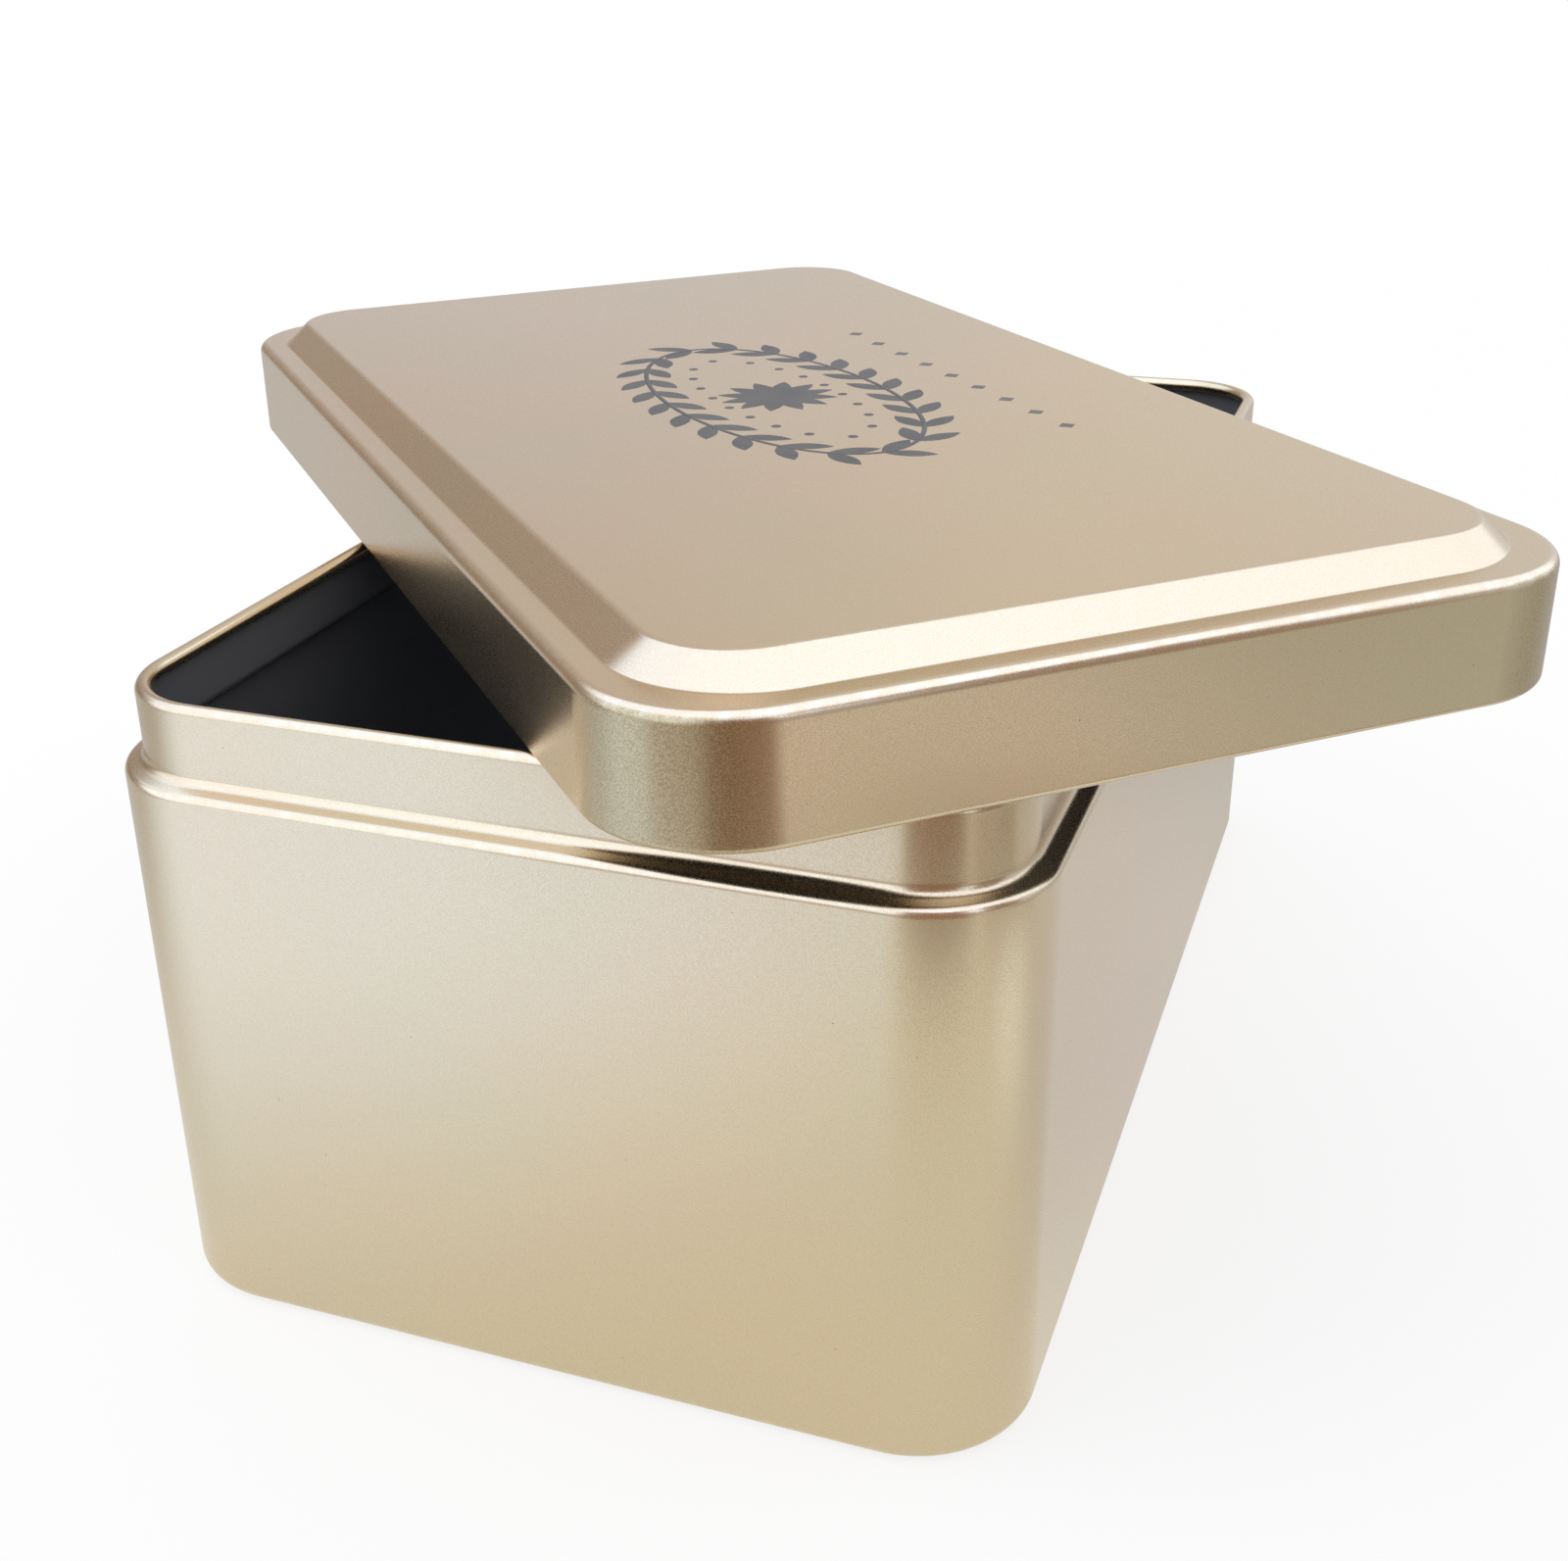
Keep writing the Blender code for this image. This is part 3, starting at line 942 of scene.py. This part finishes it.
wreathPrint = printOnLid("wreath_print", wreathTree(), ornament, darkInk)
rowPrint = printOnLid("side_row_print", rowTree(), sideRow, paleInk)
print("print ready:", len(wreathPrint.data.polygons), len(rowPrint.data.polygons))

for piece, body, nodes, slot in (
    (wallShell, "tin", ["side_wall"], "wall_lacquer"),
    (lockSeam, "tin", ["side_wall"], "wall_lacquer"),
    (baseShell, "tin", ["base_panel"], "base_lacquer"),
    (lidShell, "lid", ["lid"], "lid_lacquer"),
    (wreathPrint, "lid", [], "lid_lacquer"),
    (rowPrint, "lid", [], "lid_lacquer"),
):
    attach(piece, body)
    if nodes:
        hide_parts(*nodes)


# Camera at the photograph's viewing angle

view = {
    "azimuth": 21.364,
    "elevation": 25.068,
    "roll": -1.345,
    "distance": 243.109 * mm,
    "aimY": -29.309 * mm,
    "aimZ": 43.545 * mm,
    "focalPixels": 2024.365,
    "middleLeft": 60,       # pixels from the picture's middle left to the lens's middle, and down to it
    "middleBelow": 20,
    "imageWidth": 1600,
    "sensorWidth": 36.0,
    "nearest": 0.01,
    "farthest": 50.0,
}


def addCamera():
    azimuth = math.radians(view["azimuth"])
    elevation = math.radians(view["elevation"])
    roll = math.radians(view["roll"])
    back = Vector((
        math.sin(azimuth) * math.cos(elevation), -math.cos(azimuth) * math.cos(elevation), math.sin(elevation)
    ))
    right = (-back).cross(Vector((0, 0, 1))).normalized()
    up = right.cross(-back)
    level = Matrix((right, up, back)).transposed().to_4x4()
    turned = level @ Matrix.Rotation(roll, 4, "Z")
    data = bpy.data.cameras.new("camera")
    data.sensor_width = view["sensorWidth"]
    data.lens = view["focalPixels"] / view["imageWidth"] * view["sensorWidth"]
    data.shift_x = view["middleLeft"] / view["imageWidth"]
    data.shift_y = view["middleBelow"] / view["imageWidth"]
    data.clip_start = view["nearest"]
    data.clip_end = view["farthest"]
    camera = linkObject("camera", data)
    aim = bodyMiddle + Vector((0, view["aimY"], view["aimZ"]))
    camera.matrix_world = Matrix.Translation(aim + back * view["distance"]) @ turned
    bpy.context.scene.camera = camera


addCamera()
print("camera ready")


# Floor, sky and cards of a small product table

floorLook = {
    "colour": (0.90, 0.90, 0.90, 1),
    "roughness": 0.9,
    "specular": 0.1,
    "size": 6.0,
    "plainFrom": 0.30,      # where the seen floor starts to fade to plain white
    "plainTo": 1.0,
    "seenWhite": 0.76,      # share of plain white in the floor that the camera sees
    "shade": (0.58, 0.60, 0.65, 1),
    "shadeShare": 0.80,     # the rest is the floor's own lit colour
}
# Soft pools of light that only the metal's reflections show, full inside one radius and gone outside another
floorPools = {
    "middle": {"place": (0.040, -0.120), "full": 0.060, "gone": 0.270, "colour": (0.94, 0.98, 0.93, 1)},
    "window": {"place": (-0.108, -0.225), "full": 0.060, "gone": 0.185, "colour": (1.25, 1.52, 2.06, 1)},
    "beyond": {"place": (-0.250, -0.500), "full": 0.200, "gone": 0.320, "colour": (1.30, 1.55, 2.00, 1)},
    "olive": {"place": (0.340, -0.050), "full": 0.040, "gone": 0.180, "colour": (0.48, 0.55, 0.52, 1)},
    "tan": {"place": (0.210, -0.158), "full": 0.030, "gone": 0.090, "colour": (0.98, 0.89, 0.86, 1)},
    "light": {"place": (0.142, -0.062), "full": 0.008, "gone": 0.045, "colour": (1.24, 1.38, 1.46, 1)},
    "beside": {"place": (0.092, 0.012), "full": 0.020, "gone": 0.105, "colour": (0.76, 0.77, 0.83, 1)},
}
skyLook = {
    "plain": (1.04, 1.04, 1.06, 1),
    "horizon": (    # x of the direction and its colour
        (-0.90, (0.39, 0.31, 0.265, 1)),
        (-0.50, (0.70, 0.66, 0.67, 1)),
        (-0.20, (0.88, 0.86, 0.84, 1)),
        (0.15, (0.84, 0.89, 0.99, 1)),
    ),
}
# Bright patches of the room. Each starts and is full where the cosine of the angle to its aim has these values.
windows = {
    "above": {"aim": (0.25, -0.35, 0.90), "start": 0.55, "full": 0.61, "colour": (1.74, 1.94, 2.56, 1)},
    "left": {"aim": (-0.75, -0.45, 0.48), "start": 0.84, "full": 0.92, "colour": (1.70, 1.90, 2.40, 1)},
    "left_above": {"aim": (-0.60, 0.05, 0.80), "start": 0.88, "full": 0.94, "colour": (1.55, 1.86, 2.55, 1)},
    "left_low": {"aim": (-0.60, -0.79, 0.10), "start": 0.80, "full": 0.90, "colour": (1.60, 1.85, 2.35, 1)},
    "right_behind": {"aim": (0.60, 0.62, 0.50), "start": 0.88, "full": 0.95, "colour": (1.60, 1.80, 2.30, 1)},
    "behind": {"aim": (-0.42, 0.90, -0.05), "start": 0.925, "full": 0.965, "colour": (0.77, 0.79, 0.91, 1)},
}
softLamp = {
    "place": (-0.45, -0.25, 0.75),
    "target": (0, 0, 0.04),
    "size": (0.5, 0.5),
    "colour": (1.0, 1.0, 1.0),
    "brightness": 1.2,      # how bright its face looks, with 1 as white paper
}
cards = {
    "grey_flag": {
        "place": (-0.014, -0.227, 0.030), "target": (0.000, -0.153, 0.030),
        "size": (0.106, 0.060), "colour": (0.72, 0.67, 0.68, 1),
    },
    "brown_flag": {
        "place": (0.099, -0.188, 0.090), "target": (0.0665, -0.0934, 0.090),
        "size": (0.128, 0.180), "colour": (0.40, 0.26, 0.20, 1),
    },
    "brown_side": {
        "place": (0.240, -0.115, 0.145), "target": (0.040, -0.100, 0.145),
        "size": (0.110, 0.210), "colour": (0.40, 0.30, 0.24, 1),
    },
}
floorShadowCards = {    # dark cards that lie on the floor as painted shadow, shown only in the metal's reflections
    "floor_shadow_card": {
        "place": (0.103, -0.195), "turn": 27.0, "size": (0.148, 0.050), "colour": (0.15, 0.08, 0.05, 1),
    },
    "floor_shade_card": {
        "place": (0.182, -0.078), "turn": 84.0, "size": (0.120, 0.046), "colour": (0.42, 0.33, 0.26, 1),
    },
}
floorCardLift = 0.4 * mm


def addPlane(name, width, height):
    x = width / 2
    y = height / 2
    mesh = bpy.data.meshes.new(name)
    mesh.from_pydata([(-x, -y, 0), (x, -y, 0), (x, y, 0), (-x, y, 0)], [], [(0, 1, 2, 3)])
    return linkObject(name, mesh)


def addFloor():
    look = floorLook
    floor = addPlane("floor", look["size"], look["size"])
    material, tree, shader = newMaterial("pale_floor")
    material.cycles.emission_sampling = "NONE"
    setInputs(
        shader, Base_Color=look["colour"], Roughness=look["roughness"], Specular_IOR_Level=look["specular"]
    )
    place = objectPlace(tree)
    rays = addNode(tree, "ShaderNodeLightPath", 0, -900).outputs

    away = addNode(tree, "ShaderNodeVectorMath", -200, -200, operation="LENGTH")
    feed(away.inputs[0], place)
    far = smoothStep(
        tree, away.outputs["Value"], look["plainFrom"], look["plainTo"], 0, -200, look["seenWhite"], 1.0
    )
    white = addNode(tree, "ShaderNodeEmission", 700, -300)
    setInputs(white, Color=(1, 1, 1, 1))
    seen = addNode(tree, "ShaderNodeMixShader", 950, 0)
    feed(seen.inputs[0], mathNode(tree, "MULTIPLY", 400, -300, far, rays["Is Camera Ray"]))
    feed(seen.inputs[1], shader.outputs[0])
    feed(seen.inputs[2], white.outputs[0])

    colour = look["shade"]
    for step, pool in enumerate(floorPools.values()):
        reach = addNode(tree, "ShaderNodeVectorMath", -300, -500 - 200 * step, operation="DISTANCE")
        feed(reach.inputs[0], place)
        feed(reach.inputs[1], (*pool["place"], 0))
        share = smoothStep(tree, reach.outputs["Value"], pool["gone"], pool["full"], -100, -500 - 200 * step)
        colour = mixColour(tree, share, colour, pool["colour"], 200 * step, -600)
    glow = addNode(tree, "ShaderNodeEmission", 700, -600)
    setInputs(glow, Color=colour)
    mirrored = addNode(tree, "ShaderNodeMixShader", 1150, 0)
    feed(mirrored.inputs[0], mathNode(tree, "MULTIPLY", 500, -800, rays["Is Glossy Ray"], look["shadeShare"]))
    feed(mirrored.inputs[1], seen.outputs[0])
    feed(mirrored.inputs[2], glow.outputs[0])
    output = tree.nodes["Material Output"]
    output.location = (1350, 0)
    setInputs(output, Surface=mirrored.outputs[0])
    floor.data.materials.append(material)


def addSky():
    look = skyLook
    world = bpy.data.worlds.new("soft_room")
    world.use_nodes = True
    bpy.context.scene.world = world
    tree = world.node_tree
    rays = addNode(tree, "ShaderNodeLightPath", -300, 500).outputs
    way = addNode(tree, "ShaderNodeTexCoord", -900, 0).outputs["Generated"]
    parts = addNode(tree, "ShaderNodeSeparateXYZ", -700, 100)
    feed(parts.inputs[0], way)
    side = mathNode(tree, "ADD", -500, 100, mathNode(tree, "MULTIPLY", -600, 100, parts.outputs[0], 0.5), 0.5)
    ramp = addNode(tree, "ShaderNodeValToRGB", -300, 100)
    stops = ramp.color_ramp.elements
    stops.remove(stops[1])
    for k, (x, colour) in enumerate(look["horizon"]):
        stop = stops[0] if k == 0 else stops.new((x + 1) / 2)
        stop.position = (x + 1) / 2
        stop.color = colour
    feed(ramp.inputs[0], side)
    room = ramp.outputs[0]
    for step, window in enumerate(windows.values()):
        lean = addNode(tree, "ShaderNodeVectorMath", -700, -200 - 200 * step, operation="DOT_PRODUCT")
        feed(lean.inputs[0], way)
        feed(lean.inputs[1], Vector(window["aim"]).normalized())
        cosine = lean.outputs["Value"]
        share = smoothStep(tree, cosine, window["start"], window["full"], -500, -200 - 200 * step)
        room = mixColour(tree, share, room, window["colour"], 200 * step - 200, 0)
    lit = mixColour(tree, rays["Is Glossy Ray"], look["plain"], room, 200, 0)
    shown = mixColour(tree, rays["Is Camera Ray"], lit, (1, 1, 1, 1), 400, 0)
    setInputs(tree.nodes["Background"], Color=shown)
    tree.nodes["Background"].location = (600, 0)
    tree.nodes["World Output"].location = (800, 0)


def facing(place, target):
    turn = (Vector(target) - Vector(place)).to_track_quat("-Z", "Y")
    return Matrix.Translation(place) @ turn.to_matrix().to_4x4()


def addCard(name, look, placed):
    # A card that shows only in the metal's reflections
    card = addPlane(name, *look["size"])
    card.matrix_world = placed
    material = bpy.data.materials.new(name)
    material.use_nodes = True
    tree = material.node_tree
    tree.nodes.clear()
    glow = addNode(tree, "ShaderNodeEmission", 0, 0)
    setInputs(glow, Color=look["colour"])
    output = addNode(tree, "ShaderNodeOutputMaterial", 200, 0)
    setInputs(output, Surface=glow.outputs[0])
    card.data.materials.append(material)
    card.visible_camera = False
    card.visible_diffuse = False
    card.visible_shadow = False
    card.visible_transmission = False


def addLamp(name, look):
    width, height = look["size"]
    data = bpy.data.lights.new(name, "AREA")
    data.shape = "RECTANGLE"
    data.size = width
    data.size_y = height
    data.color = look["colour"]
    data.energy = look["brightness"] * math.pi * width * height
    lamp = linkObject(name, data)
    lamp.matrix_world = facing(look["place"], look["target"])
    lamp.visible_camera = False
    lamp.visible_glossy = False


addFloor()
addSky()
addLamp("soft_left", softLamp)
for name, look in cards.items():
    addCard(name, look, facing(look["place"], look["target"]))
# Lay the painted shadow cards just above the floor
for name, look in floorShadowCards.items():
    level = Matrix.Translation((*look["place"], floorCardLift))
    addCard(name, look, level @ Matrix.Rotation(math.radians(look["turn"]), 4, "Z"))
print("stage ready")
